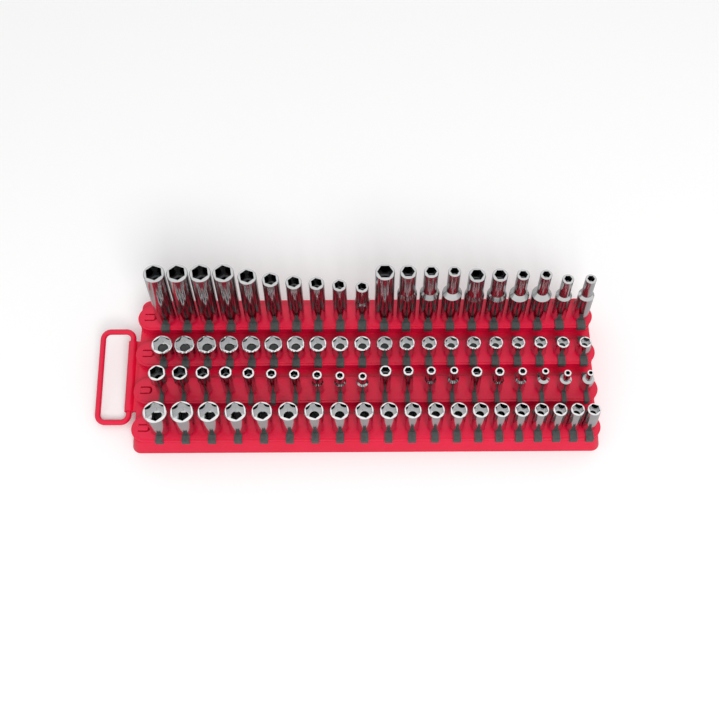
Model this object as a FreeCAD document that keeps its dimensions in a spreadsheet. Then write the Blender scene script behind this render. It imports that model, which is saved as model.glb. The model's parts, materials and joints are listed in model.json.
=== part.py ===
import FreeCAD, Part
import math
import os
import Sketcher

Vector = FreeCAD.Vector

# Socket organizer tray: four stepped rails on a moulded tray, a sliding clip for every socket,
# eighty chrome sockets standing on the clips, and a carry handle in a snap-in sleeve on the left.
# Frame: millimetres, +Z up, X along the rails, +Y towards the highest tier. The origin is the
# middle of the tray's footprint, on the floor.

TIERS = ("front", "mid_front", "mid_back", "back")
PLACES = 20
LAST_PLACE = PLACES - 1

# The front row's pitch falls from left to right: how far each step has fallen towards the last one
FRONT_POWER_SHARE = 1.8
FRONT_FALL_SHARES = [(step / (LAST_PLACE - 1)) ** FRONT_POWER_SHARE for step in range(LAST_PLACE)]

# Every size that can be set by itself, in millimetres or degrees.
SIZES = {
    # Tray: stepped tiers over a flared foot
    "tier_pitch": 40.0,
    "tier_rise": 6.5,
    "first_floor": 17.0,
    "riser_setback": 2.0,
    "wall": 2.4,
    "foot_flare_side": 3.2,
    "foot_flare_front": 4.5,
    "foot_flare_back": 2.5,
    "corner_radius": 9.0,
    "seat_groove_depth": 1.0,
    "seat_clearance": 0.2,
    # Places of the sockets along a rail: middle to middle, and from the rail's ends
    "pitch": 23.0,
    "left_margin": 30.15,
    "right_margin": 12.85,
    # Rail: rounded plate with a raised field, standing on a stem
    "rail_width": 30.0,
    "rail_overhang": 2.0,
    "plate_thickness": 2.2,
    "field_inset": 2.2,
    "field_rise": 0.8,
    "under_gap": 4.5,
    "stem_width": 16.0,
    "stem_end_margin": 2.0,
    # End-stop tab, cut free on three sides near the left end of each rail
    "tab_inset": 7.4,
    "tab_length": 10.8,
    "tab_width": 6.4,
    "tab_thickness": 1.8,
    "tab_slit": 1.2,
    "nub_height": 1.0,
    "nub_length": 1.6,
    # Clips that slide along a rail
    "clip_clearance": 0.15,
    "clip_plate": 1.6,
    "clip_wall": 1.6,
    "hook_reach": 2.0,
    "hook_thickness": 1.4,
    "post_clearance": 0.2,
    "post_height_large": 8.0,
    "post_height_small": 6.0,
    "clip_width_back": 9.4,
    "clip_width_mid_back": 7.5,
    "clip_width_mid_front": 6.2,
    "clip_width_front": 7.9,
    "clip_width_front_wide": 9.1,
    # Drive holes, and the wall at their corners in the narrowest drive ends
    "drive_large": 9.6,
    "drive_small": 6.45,
    "drive_depth_large": 9.0,
    "drive_depth_small": 7.0,
    "drive_wall_large": 0.9,
    "drive_wall_small": 1.45,
    "drive_wall_back_last": 1.5,
    # Gaps between a row's largest mouths, between the back set's drive ends, and between the last
    # two sockets in front
    "mouth_gap_back": 1.6,
    "mouth_gap_mid_back": 1.4,
    "mouth_gap_mid_front": 5.5,
    "mouth_gap_front": 2.7,
    "set_gap_back": 2.7,
    "last_gap": 1.0,
    # Tallest socket of each row, the front row's hexagon depth, and the wall round a hexagon
    "height_back": 83.4,
    "height_mid_back": 17.25,
    "height_mid_front": 37.75,
    "height_front": 35.65,
    "hex_depth_front": 11.7,
    "socket_wall": 1.0,
    # Turn of the hexagons in the plain rows, in degrees
    "hex_turn": 40.0,
    # Carry handle: a closed loop in a snap-in sleeve, level with the slope of the tiers
    "handle_length": 106.9,
    "handle_reach": 38.4,
    "handle_bar": 6.5,
    "handle_corner": 11.0,
    "hinge_offset": 7.5,
    "hinge_height": 14.3,
    "sleeve_length": 78.0,
    "sleeve_wall": 1.5,
    "sleeve_slot": 4.8,
    "sleeve_web": 3.0,
    "hinge_clearance": 0.1,
    # One overrun for all cuts
    "overrun": 1.0,
}

# Sizes that follow from those above.
FOLLOWING = {
    "rail_half": f"({LAST_PLACE} * sizes.pitch + sizes.left_margin + sizes.right_margin) / 2",
    "rail_end_radius": "sizes.rail_width / 2",
    "rail_thickness": "sizes.plate_thickness + sizes.field_rise",
    "top_half": "rail_half - sizes.rail_overhang",
    "foot_half": "rail_half - sizes.rail_overhang + sizes.foot_flare_side",
    "front_top": "sizes.riser_setback - 2 * sizes.tier_pitch",
    "front_foot": "sizes.riser_setback - 2 * sizes.tier_pitch - sizes.foot_flare_front",
    "back_top": "2 * sizes.tier_pitch",
    "back_foot": "2 * sizes.tier_pitch + sizes.foot_flare_back",
    "hollow_top": "sizes.first_floor - sizes.wall",
    "tab_root": "sizes.tab_inset - rail_half",
    "tab_tip": "sizes.tab_inset + sizes.tab_length - rail_half",
    "slot_end": "sizes.tab_inset + sizes.tab_length + sizes.tab_slit - rail_half",
    "slot_half_width": "sizes.tab_width / 2 + sizes.tab_slit",
    "stem_height": "sizes.under_gap + sizes.seat_groove_depth",
    "stem_left": "sizes.tab_inset + sizes.tab_length + sizes.tab_slit + sizes.stem_end_margin - rail_half",
    "stem_right": "rail_half - sizes.rail_width / 2",
    "rail_height": "sizes.under_gap + sizes.plate_thickness + sizes.field_rise",
    "clip_seat": "sizes.clip_clearance + sizes.clip_plate",
    "bar_flat": "sizes.handle_bar * cos(22.5 deg)",
    "drive_end_large": "sizes.drive_large * sqrt(2) + 2 * sizes.drive_wall_large",
    "drive_end_small": "sizes.drive_small * sqrt(2) + 2 * sizes.drive_wall_small",
    "drive_end_back_set": "sizes.pitch - sizes.set_gap_back",
    "drive_end_back_last": "sizes.drive_large * sqrt(2) + 2 * sizes.drive_wall_back_last",
    "front_last_pitch": "drive_end_large + sizes.last_gap",
    "front_first_pitch": f"({LAST_PLACE} * sizes.pitch - front_last_pitch * {sum(FRONT_FALL_SHARES)})"
                         f" / ({LAST_PLACE} - {sum(FRONT_FALL_SHARES)})",
    "mouth_back": "sizes.pitch - sizes.mouth_gap_back",
    "mouth_mid_back": "sizes.pitch - sizes.mouth_gap_mid_back",
    "mouth_mid_front": "sizes.pitch - sizes.mouth_gap_mid_front",
    "mouth_front": "front_first_pitch - sizes.mouth_gap_front",
}

doc = FreeCAD.newDocument("socket_organizer_tray")


def fill_sheet(name, cells, sign):
    """Write one named value per row, with its name as the alias of its cell."""
    sheet = doc.addObject("Spreadsheet::Sheet", name)
    for row, (alias, text) in enumerate(cells.items(), start=1):
        sheet.set(f"A{row}", alias)
        sheet.set(f"B{row}", f"{sign}{text}")
        sheet.setAlias(f"B{row}", alias)
    return sheet


sizes = fill_sheet("sizes", SIZES, "")
follow = fill_sheet("follow", FOLLOWING, "=")
doc.recompute()


# Places along the rails

def even_places():
    """Middles of the evenly spaced sockets of the back three rows."""
    first = sizes.left_margin - follow.rail_half
    return [first + sizes.pitch * place for place in range(PLACES)]


def front_places():
    """Middles of the front row's sockets, which end above those of the other rows."""
    change = follow.front_last_pitch - follow.front_first_pitch
    places = [sizes.left_margin - follow.rail_half]
    for fall in FRONT_FALL_SHARES:
        places.append(places[-1] + follow.front_first_pitch + change * fall)
    return places


def tier_index(tier):
    return TIERS.index(tier)


def lip(tier):
    """Front edge of a tier's rail."""
    return (tier_index(tier) - len(TIERS) / 2) * sizes.tier_pitch


def rail_middle(tier):
    return lip(tier) + sizes.rail_width / 2


def floor_level(tier):
    return sizes.first_floor + tier_index(tier) * sizes.tier_rise


def rail_top(tier):
    return floor_level(tier) + sizes.under_gap + follow.rail_thickness


def socket_seat(tier):
    """Top of the clip plates, where the sockets stand."""
    return rail_top(tier) + follow.clip_seat


# Sketch helpers

scratch = doc.addObject("Spreadsheet::Sheet", "scratch")


def worked_out(expression):
    """Value of an expression, so that a sketch is drawn near its final shape."""
    scratch.set("A1", f"={expression}")
    scratch.recompute()
    return float(scratch.get("A1"))


def new_sketch(body, name, role, offset):
    """An empty sketch on an origin plane of the body, moved along the plane's normal."""
    planes = [plane for plane in body.Origin.OriginFeatures if plane.Role == role]
    sketch = body.newObject("Sketcher::SketchObject", name)
    sketch.AttachmentSupport = [(planes[0], "")]
    sketch.MapMode = "FlatFace"
    sketch.setExpression("AttachmentOffset.Base.z", offset)
    return sketch


def bind(sketch, name, expression, kind, *where):
    """Add a dimension to a sketch and tie it to the sheets."""
    index = sketch.addConstraint(Sketcher.Constraint(kind, *where, worked_out(expression)))
    sketch.renameConstraint(index, name)
    sketch.setExpression(f"Constraints.{name}", expression)


def polygon_sketch(body, name, corners, role="XY_Plane", offset="0"):
    """A closed outline of straight lines, each corner given by two expressions."""
    sketch = new_sketch(body, name, role, offset)
    points = [Vector(worked_out(across), worked_out(along), 0) for across, along in corners]
    count = len(points)
    for index in range(count):
        sketch.addGeometry(Part.LineSegment(points[index], points[(index + 1) % count]))
    for index in range(count):
        sketch.addConstraint(Sketcher.Constraint("Coincident", index, 2, (index + 1) % count, 1))
    for index, (across, along) in enumerate(corners):
        bind(sketch, f"across{index}", across, "DistanceX", -1, 1, index, 1)
        bind(sketch, f"along{index}", along, "DistanceY", -1, 1, index, 1)
    return sketch


def rectangle_sketch(body, name, left, right, front, back, offset="0"):
    corners = [(left, front), (right, front), (right, back), (left, back)]
    return polygon_sketch(body, name, corners, "XY_Plane", offset)


def round_sketch(body, name, left, right, front, back, radius, offset="0"):
    """A rectangle with round corners: lines 0, 2, 4, 6 and arcs 1, 3, 5, 7, anticlockwise from the front."""
    sketch = new_sketch(body, name, "XY_Plane", offset)
    low = Vector(worked_out(left), worked_out(front), 0)
    high = Vector(worked_out(right), worked_out(back), 0)
    bend = worked_out(radius)
    centres = [
        Vector(high.x - bend, low.y + bend, 0),
        Vector(high.x - bend, high.y - bend, 0),
        Vector(low.x + bend, high.y - bend, 0),
        Vector(low.x + bend, low.y + bend, 0),
    ]
    for quarter, centre in enumerate(centres):
        start_angle = (quarter - 1) * math.pi / 2
        end_angle = quarter * math.pi / 2
        before = centres[quarter - 1]
        out = Vector(math.cos(start_angle), math.sin(start_angle), 0) * bend
        sketch.addGeometry(Part.LineSegment(before + out, centre + out))
        circle = Part.Circle(centre, Vector(0, 0, 1), bend)
        sketch.addGeometry(Part.ArcOfCircle(circle, start_angle, end_angle))
    for line in range(0, 8, 2):
        arc = line + 1
        sketch.addConstraint(Sketcher.Constraint("Tangent", line, 2, arc, 1))
        sketch.addConstraint(Sketcher.Constraint("Tangent", arc, 2, (arc + 1) % 8, 1))
    for arc in (3, 5, 7):
        sketch.addConstraint(Sketcher.Constraint("Equal", 1, arc))
    for line in (0, 4):
        sketch.addConstraint(Sketcher.Constraint("Horizontal", line))
    for line in (2, 6):
        sketch.addConstraint(Sketcher.Constraint("Vertical", line))
    bind(sketch, "bend", radius, "Radius", 1)
    bind(sketch, "front", front, "DistanceY", -1, 1, 0, 1)
    bind(sketch, "right", right, "DistanceX", -1, 1, 2, 1)
    bind(sketch, "back", back, "DistanceY", -1, 1, 4, 1)
    bind(sketch, "left", left, "DistanceX", -1, 1, 6, 1)
    return sketch


def stadium_sketch(body, name, centre_reach, radius, offset):
    """A bar with half-round ends, centred on the origin: lines 0 and 2, arcs 1 and 3."""
    sketch = new_sketch(body, name, "XY_Plane", offset)
    reach = worked_out(centre_reach)
    bend = worked_out(radius)
    up = Vector(0, 0, 1)
    right = Part.Circle(Vector(reach, 0, 0), up, bend)
    left = Part.Circle(Vector(-reach, 0, 0), up, bend)
    sketch.addGeometry(Part.LineSegment(Vector(-reach, -bend, 0), Vector(reach, -bend, 0)))
    sketch.addGeometry(Part.ArcOfCircle(right, -math.pi / 2, math.pi / 2))
    sketch.addGeometry(Part.LineSegment(Vector(reach, bend, 0), Vector(-reach, bend, 0)))
    sketch.addGeometry(Part.ArcOfCircle(left, math.pi / 2, 3 * math.pi / 2))
    for index in range(4):
        sketch.addConstraint(Sketcher.Constraint("Tangent", index, 2, (index + 1) % 4, 1))
    sketch.addConstraint(Sketcher.Constraint("Equal", 1, 3))
    bind(sketch, "bend", radius, "Radius", 1)
    bind(sketch, "right", centre_reach, "DistanceX", -1, 1, 1, 3)
    bind(sketch, "left", f"-({centre_reach})", "DistanceX", -1, 1, 3, 3)
    sketch.addConstraint(Sketcher.Constraint("PointOnObject", 1, 3, -1))
    sketch.addConstraint(Sketcher.Constraint("PointOnObject", 3, 3, -1))
    return sketch


def pad(body, sketch, length, both_ways=False):
    feature = body.newObject("PartDesign::Pad", f"{sketch.Name}_pad")
    feature.Profile = (sketch, [""])
    if both_ways:
        feature.SideType = "Symmetric"
    feature.setExpression("Length", length)
    return feature


def pocket(body, sketch, depth, upward=False):
    """Cut down from the sketch, or up, and make sure that something was cut."""
    doc.recompute()
    before = body.Shape.Volume
    feature = body.newObject("PartDesign::Pocket", f"{sketch.Name}_pocket")
    feature.Profile = (sketch, [""])
    feature.Reversed = upward
    feature.setExpression("Length", depth)
    doc.recompute()
    if body.Shape.Volume >= before:
        raise RuntimeError(f"{feature.Name} cuts nothing")
    return feature


def loft(body, kind, first, second):
    feature = body.newObject(f"PartDesign::{kind}", f"{first.Name}_loft")
    feature.Profile = (first, [""])
    feature.Sections = [(second, [""])]
    return feature


def edges_where(shape, wanted):
    """Names of the edges of a shape that pass a test."""
    return [f"Edge{index}" for index, edge in enumerate(shape.Edges, start=1) if wanted(edge)]


def is_upright(edge):
    box = edge.BoundBox
    return box.ZLength > max(box.XLength, box.YLength)


def dress_edges(body, kind, dimension, size, wanted):
    """Fillet or chamfer the edges of a body's tip that pass a test."""
    doc.recompute()
    base = body.Tip
    feature = body.newObject(f"PartDesign::{kind}", f"{base.Name}_{kind}")
    feature.Base = (base, edges_where(base.Shape, wanted))
    feature.setExpression(dimension, size)
    return feature


# Tray

def riser(number):
    """Expression for the front face of the step up to a tier."""
    return f"{number - 2} * sizes.tier_pitch + sizes.riser_setback"


def make_tray_shell():
    """Flared foot, stepped tiers, open underneath, with a rib along each step and a groove per rail."""
    body = doc.addObject("PartDesign::Body", "tray_shell")
    foot = round_sketch(body, "foot", "-follow.foot_half", "follow.foot_half",
                        "follow.front_foot", "follow.back_foot", "sizes.corner_radius")
    shoulder = round_sketch(body, "shoulder", "-follow.top_half", "follow.top_half",
                            "follow.front_top", "follow.back_top", "sizes.corner_radius",
                            "sizes.first_floor")
    loft(body, "AdditiveLoft", foot, shoulder)
    for number in range(1, len(TIERS)):
        step = round_sketch(body, f"step{number}", "-follow.top_half", "follow.top_half",
                            riser(number), "follow.back_top", "sizes.corner_radius",
                            f"sizes.first_floor + {number - 1} * sizes.tier_rise")
        pad(body, step, "sizes.tier_rise")

    inner_radius = "sizes.corner_radius - sizes.wall"
    inner_foot = round_sketch(body, "inner_foot", "sizes.wall - follow.foot_half",
                              "follow.foot_half - sizes.wall", "follow.front_foot + sizes.wall",
                              "follow.back_foot - sizes.wall", inner_radius)
    inner_top = round_sketch(body, "inner_top", "sizes.wall - follow.top_half",
                             "follow.top_half - sizes.wall", "follow.front_top + sizes.wall",
                             "follow.back_top - sizes.wall", inner_radius, "follow.hollow_top")
    loft(body, "SubtractiveLoft", inner_foot, inner_top)
    for number in range(1, len(TIERS)):
        hollow = round_sketch(body, f"hollow{number}", "sizes.wall - follow.top_half",
                              "follow.top_half - sizes.wall", f"{riser(number)} + sizes.wall",
                              "follow.back_top - sizes.wall", inner_radius,
                              f"follow.hollow_top + {number - 1} * sizes.tier_rise")
        pocket(body, hollow, "sizes.tier_rise", upward=True)

    for number in range(1, len(TIERS)):
        top = f"sizes.first_floor + {number - 1} * sizes.tier_rise - sizes.wall / 2"
        corners = [
            ("sizes.wall / 2 - follow.foot_half", "0"),
            ("follow.foot_half - sizes.wall / 2", "0"),
            ("follow.top_half - sizes.wall / 2", top),
            ("sizes.wall / 2 - follow.top_half", top),
        ]
        rib = polygon_sketch(body, f"rib{number}", corners, "XZ_Plane", f"{2 - number} * sizes.tier_pitch")
        pad(body, rib, "sizes.wall", both_ways=True)

    for number in range(len(TIERS)):
        middle = f"{number - 2} * sizes.tier_pitch + sizes.rail_width / 2"
        half_width = "sizes.stem_width / 2 + sizes.seat_clearance"
        groove = rectangle_sketch(body, f"groove{number}", "follow.stem_left - sizes.seat_clearance",
                                  "follow.stem_right + sizes.seat_clearance",
                                  f"{middle} - ({half_width})", f"{middle} + {half_width}",
                                  f"sizes.first_floor + {number} * sizes.tier_rise")
        pocket(body, groove, "sizes.seat_groove_depth")
    return body


def hinge_frame():
    """Place of the handle's hinge: local Y runs along the axis, which follows the slope of the tiers."""
    slope = math.degrees(math.atan2(sizes.tier_rise, sizes.tier_pitch))
    corner = Vector(-follow.rail_half - sizes.hinge_offset, 0, sizes.hinge_height)
    return FreeCAD.Placement(corner, FreeCAD.Rotation(Vector(1, 0, 0), slope))


def hinge_cylinder(name, radius, length):
    """A cylinder along the hinge axis, centred on its middle."""
    cylinder = doc.addObject("Part::Cylinder", name)
    cylinder.setExpression("Radius", radius)
    cylinder.setExpression("Height", length)
    along = FreeCAD.Rotation(Vector(1, 0, 0), -90)
    half = worked_out(length) / 2
    cylinder.Placement = hinge_frame() * FreeCAD.Placement(Vector(0, -half, 0), along)
    return cylinder


def hinge_box(name, length, width, height, corner):
    """A block beside the hinge axis, with its lowest corner given in the hinge's frame."""
    box = doc.addObject("Part::Box", name)
    box.setExpression("Length", length)
    box.setExpression("Width", width)
    box.setExpression("Height", height)
    place = Vector(*[worked_out(expression) for expression in corner])
    box.Placement = hinge_frame() * FreeCAD.Placement(place, FreeCAD.Rotation())
    return box


def make_base_tray():
    """The shell with the handle's sleeve: a tube open below, on a web from the left wall."""
    shell = make_tray_shell()
    bore_radius = "sizes.handle_bar / 2 + sizes.hinge_clearance"
    tube_radius = f"{bore_radius} + sizes.sleeve_wall"
    long_cut = "sizes.sleeve_length + 2 * sizes.overrun"
    tube = hinge_cylinder("sleeve_tube", tube_radius, "sizes.sleeve_length")
    web = hinge_box("sleeve_web_block", "sizes.hinge_offset + sizes.rail_overhang + sizes.wall / 2",
                    "sizes.sleeve_length", "sizes.sleeve_web",
                    ("0", "-sizes.sleeve_length / 2", "-sizes.sleeve_web / 2"))
    bore = hinge_cylinder("sleeve_bore", bore_radius, long_cut)
    slot = hinge_box("sleeve_opening", "sizes.sleeve_slot", long_cut, f"{tube_radius} + sizes.overrun",
                     ("-sizes.sleeve_slot / 2", f"-({long_cut}) / 2", f"-({tube_radius}) - sizes.overrun"))
    joined = doc.addObject("Part::MultiFuse", "shell_and_sleeve")
    joined.Shapes = [shell, tube, web]
    cuts = doc.addObject("Part::MultiFuse", "sleeve_cuts")
    cuts.Shapes = [bore, slot]
    tray = doc.addObject("Part::Cut", "base_tray")
    tray.Base = joined
    tray.Tool = cuts
    return tray


# Carry handle

def bent_outline(left, right, front, back, radius):
    """Corners of a rectangle whose four bends are each drawn as three flats."""
    corners = []
    for start, across, along in ((-90, right, front), (0, right, back), (90, left, back), (180, left, front)):
        inward_x = "-" if across == right else "+"
        inward_y = "-" if along == back else "+"
        for step in range(4):
            turn = f"{start + 30 * step} deg"
            corners.append((f"{across} {inward_x} {radius} + {radius} * cos({turn})",
                            f"{along} {inward_y} {radius} + {radius} * sin({turn})"))
    return corners


def make_carry_handle():
    """A closed loop with an eight-sided bar, whose corners lie on the round of the bar's diameter."""
    body = doc.addObject("PartDesign::Body", "carry_handle")
    half = "follow.bar_flat / 2"
    outside = bent_outline(f"({half} - sizes.handle_reach)", f"({half})", "(-sizes.handle_length / 2)",
                           "(sizes.handle_length / 2)", "sizes.handle_corner")
    pad(body, polygon_sketch(body, "loop_outside", outside), "follow.bar_flat", both_ways=True)
    inside = bent_outline(f"(3 * {half} - sizes.handle_reach)", f"(-{half})",
                          "(follow.bar_flat - sizes.handle_length / 2)",
                          "(sizes.handle_length / 2 - follow.bar_flat)",
                          "(sizes.handle_corner - follow.bar_flat)")
    gap = polygon_sketch(body, "loop_inside", inside, "XY_Plane", f"{half} + sizes.overrun")
    pocket(body, gap, "follow.bar_flat + 2 * sizes.overrun")
    flat = "follow.bar_flat * (1 - tan(22.5 deg)) / 2"
    dress_edges(body, "Chamfer", "Size", flat, lambda edge: not is_upright(edge))
    body.Placement = hinge_frame()
    return body


# Rails and their end-stop tabs, drawn from the tier's floor up

def rail_place(tier):
    return FreeCAD.Placement(Vector(0, rail_middle(tier), floor_level(tier)), FreeCAD.Rotation())


def make_rail(tier):
    """Stem, rounded plate and raised field, with the opening for the tab near the left end."""
    body = doc.addObject("PartDesign::Body", f"rail_{tier}")
    stem = rectangle_sketch(body, f"stem_{tier}", "follow.stem_left", "follow.stem_right",
                            "-sizes.stem_width / 2", "sizes.stem_width / 2", "-sizes.seat_groove_depth")
    pad(body, stem, "follow.stem_height")
    centre_reach = "follow.rail_half - follow.rail_end_radius"
    plate = stadium_sketch(body, f"plate_{tier}", centre_reach, "follow.rail_end_radius", "sizes.under_gap")
    pad(body, plate, "sizes.plate_thickness")
    field = stadium_sketch(body, f"field_{tier}", centre_reach, "follow.rail_end_radius - sizes.field_inset",
                           "sizes.under_gap + sizes.plate_thickness")
    pad(body, field, "sizes.field_rise")
    opening = rectangle_sketch(body, f"opening_{tier}", "follow.tab_root", "follow.slot_end",
                               "-follow.slot_half_width", "follow.slot_half_width",
                               "follow.rail_height + sizes.overrun")
    pocket(body, opening, "follow.rail_thickness + 2 * sizes.overrun")
    body.Placement = rail_place(tier)
    return body


def make_tab(tier):
    """A tongue that bends down at its left end, with a nub that stops the clips."""
    body = doc.addObject("PartDesign::Body", f"end_stop_tab_{tier}")
    tongue = rectangle_sketch(body, f"tongue_{tier}", "follow.tab_root", "follow.tab_tip",
                              "-sizes.tab_width / 2", "sizes.tab_width / 2",
                              "follow.rail_height - sizes.tab_thickness")
    pad(body, tongue, "sizes.tab_thickness")
    nub = rectangle_sketch(body, f"nub_{tier}", "follow.tab_tip - sizes.nub_length", "follow.tab_tip",
                           "-sizes.tab_width / 2", "sizes.tab_width / 2", "follow.rail_height")
    pad(body, nub, "sizes.nub_height")
    body.Placement = rail_place(tier)
    return body


# Clips, drawn from the top of the rail's raised field up

def make_clip(name, width, drive, place):
    """A C-shaped runner that hooks under both edges of the rail, with a square post for the socket."""
    body = doc.addObject("PartDesign::Body", name)
    inside = "(sizes.rail_width / 2 + sizes.clip_clearance)"
    outside = f"({inside} + sizes.clip_wall)"
    hook = f"({inside} - sizes.hook_reach)"
    hook_top = "-(follow.rail_thickness + sizes.clip_clearance)"
    hook_bottom = f"{hook_top} - sizes.hook_thickness"
    half_profile = [
        (outside, "follow.clip_seat"),
        (outside, hook_bottom),
        (hook, hook_bottom),
        (hook, hook_top),
        (inside, hook_top),
        (inside, "sizes.clip_clearance"),
    ]
    mirrored = [(f"-{across}", along) for across, along in reversed(half_profile)]
    profile = polygon_sketch(body, f"{name}_profile", half_profile + mirrored, "YZ_Plane")
    pad(body, profile, f"sizes.{width}", both_ways=True)
    half_post = f"(sizes.drive_{drive} / 2 - sizes.post_clearance)"
    post = rectangle_sketch(body, f"{name}_post", f"-{half_post}", half_post, f"-{half_post}", half_post,
                            "follow.clip_seat")
    pad(body, post, f"sizes.post_height_{drive}")
    body.Placement = place
    return body


def clip_place(tier, across):
    return FreeCAD.Placement(Vector(across, rail_middle(tier), rail_top(tier)), FreeCAD.Rotation())


def make_group(name, solids):
    """Several equal pieces that share one node."""
    group = doc.addObject("Part::Feature", name)
    group.Shape = Part.makeCompound(solids)
    return group


def plain_clip(tier, width, across):
    """A clip of a group: plate, two legs as deep as the rail, and the post."""
    inside = sizes.rail_width / 2 + sizes.clip_clearance
    outside = inside + sizes.clip_wall
    leg_end = -follow.rail_thickness
    half_profile = [
        Vector(-width / 2, outside, follow.clip_seat),
        Vector(-width / 2, outside, leg_end),
        Vector(-width / 2, inside, leg_end),
        Vector(-width / 2, inside, sizes.clip_clearance),
    ]
    mirrored = [Vector(corner.x, -corner.y, corner.z) for corner in reversed(half_profile)]
    runner = flat_face(half_profile + mirrored).extrude(Vector(width, 0, 0))
    drive = DRIVES[tier]
    post_side = sizes.get(f"drive_{drive}") - 2 * sizes.post_clearance
    square = ring_of_corners(post_side / math.sqrt(2), 4, 45)
    clip = runner.fuse(prism(square, follow.clip_seat, sizes.get(f"post_height_{drive}")))
    clip.translate(Vector(across, rail_middle(tier), rail_top(tier)))
    return clip.removeSplitter().Solids[0]


# Sockets

# Shares of a row's largest mouth, one for each place from the left
MOUTH_SHARES = {
    "back": (1, 1, 1, 1, 0.888, 0.813, 0.776, 0.738, 0.673, 0.626,
             0.916, 0.785, 0.692, 0.598, 0.804, 0.738, 0.607, 0.561, 0.551, 0.523),
    "mid_front": (1, 0.909, 0.806, 0.749, 0.691, 0.617, 0.617, 0.56, 0.526, 0.491,
                  0.697, 0.606, 0.526, 0.469, 0.64, 0.549, 0.491, 0.411, 0.417, 0.377),
    "front": (1, 0.983, 0.938, 0.917, 0.884, 0.851, 0.83, 0.817, 0.793, 0.776,
              0.735, 0.73, 0.722, 0.693, 0.66, 0.635, 0.61, 0.595, 0.58, 0.56),
}
# The mid back row falls evenly to this share of its largest mouth
MID_BACK_LAST_SHARE = 0.588

# Shares of a row's tallest socket
HEIGHT_SHARES = {
    "back": (1, 1, 1, 1, 0.918, 0.848, 0.785, 0.76, 0.712, 0.671,
             1, 1, 1, 1, 0.919, 0.919, 0.919, 0.919, 0.817, 0.817),
    "mid_front": (0.974, 0.974, 0.974, 0.974, 0.928, 0.881, 0.835, 0.788, 0.742, 0.696,
                  1, 1, 1, 1, 0.926, 0.926, 0.926, 0.926, 0.817, 0.817),
}

# On stepped sockets the drive end is straight up to the shoulder, and the mouth's own width starts
# at the neck, both as shares of the height. The other rows taper evenly where their ends differ.
SHOULDER_SHARE = {"back": 0.56, "mid_front": 0.56}
NECK_SHARE = {"back": 0.6, "mid_front": 0.6}
# Ends that differ by less than this share also join in an even taper
PLAIN_TAPER_SHARE = 0.12

# Flats that stand for the round outside of each socket in a set
SOCKET_FLATS = 12

# Drive ends of the front row are narrower than the mouths, down to the narrowest drive end
FRONT_END_SHARE = 0.88

# Width of the hexagon across its corners, as a share of the mouth, for the widest and the narrowest
HEX_WIDE_SHARES = {"back": 0.8, "mid_back": 0.88, "mid_front": 0.84, "front": 0.88}
HEX_NARROW_SHARES = {"back": 0.62, "mid_back": 0.8, "mid_front": 0.62, "front": 0.8}
# Its share goes from the narrow to the wide value between these two shares of the drive end
NARROW_MOUTH_SHARE = 0.55
WIDE_MOUTH_SHARE = 1.3

DRIVES = {"back": "large", "mid_back": "large", "mid_front": "small", "front": "large"}

# How many sockets stand alone as a row's lead, in half a row, and in the sets of the two tall rows
LEAD_COUNT = 1
HALF_COUNT = PLACES // 2
TALL_COUNT = 3
NECKED_COUNT = 4
PAIR_COUNT = 2


def mouth_width(tier, place):
    largest = follow.get(f"mouth_{tier}")
    if tier in MOUTH_SHARES:
        return largest * MOUTH_SHARES[tier][place]
    return largest * (1 - (1 - MID_BACK_LAST_SHARE) * place / LAST_PLACE)


def socket_height(tier, place):
    tallest = sizes.get(f"height_{tier}")
    if tier in HEIGHT_SHARES:
        return tallest * HEIGHT_SHARES[tier][place]
    return tallest


def is_second_set(tier, place):
    """The right halves of the back and mid front rows hold necked sockets, with level hexagons."""
    return tier in ("back", "mid_front") and place >= HALF_COUNT


def drive_end_width(tier, place):
    """Width of the end that stands on the clip."""
    if DRIVES[tier] == "small":
        return follow.drive_end_small
    if is_second_set(tier, place):
        in_last_pair = place >= PLACES - PAIR_COUNT
        return follow.drive_end_back_last if in_last_pair else follow.drive_end_back_set
    if tier == "front":
        return max(mouth_width(tier, place) * FRONT_END_SHARE, follow.drive_end_large)
    return max(mouth_width(tier, place), follow.drive_end_large)


def hex_radius(tier, place):
    """Half the hexagon's width across its corners."""
    mouth = mouth_width(tier, place)
    mouth_share = mouth / follow.get(f"drive_end_{DRIVES[tier]}")
    rise = (mouth_share - NARROW_MOUTH_SHARE) / (WIDE_MOUTH_SHARE - NARROW_MOUTH_SHARE)
    rise = min(max(rise, 0), 1)
    return mouth / 2 * (HEX_NARROW_SHARES[tier] + (HEX_WIDE_SHARES[tier] - HEX_NARROW_SHARES[tier]) * rise)


def drive_hole_depth(tier, place):
    """The drive hole meets the hexagon's floor, which lies at the neck if the hexagon is too wide below."""
    if tier == "front":
        return socket_height(tier, place) - sizes.hex_depth_front
    room = drive_end_width(tier, place) / 2 - sizes.socket_wall
    if tier in NECK_SHARE and hex_radius(tier, place) > room:
        return socket_height(tier, place) * NECK_SHARE[tier]
    return sizes.get(f"drive_depth_{DRIVES[tier]}")


def hex_turn(tier, place):
    """The plain rows share one turn, and the necked sets stand level."""
    return 0 if is_second_set(tier, place) else sizes.hex_turn


def ring_of_corners(radius, count, first_angle):
    """Corners of a regular polygon about the Z axis."""
    angles = [math.radians(first_angle + 360 / count * index) for index in range(count)]
    return [Vector(radius * math.cos(angle), radius * math.sin(angle), 0) for angle in angles]


def flat_face(corners):
    return Part.Face(Part.makePolygon(corners + corners[:1]))


def prism(corners, bottom, height):
    face = flat_face(corners)
    face.translate(Vector(0, 0, bottom))
    return face.extrude(Vector(0, 0, height))


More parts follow.
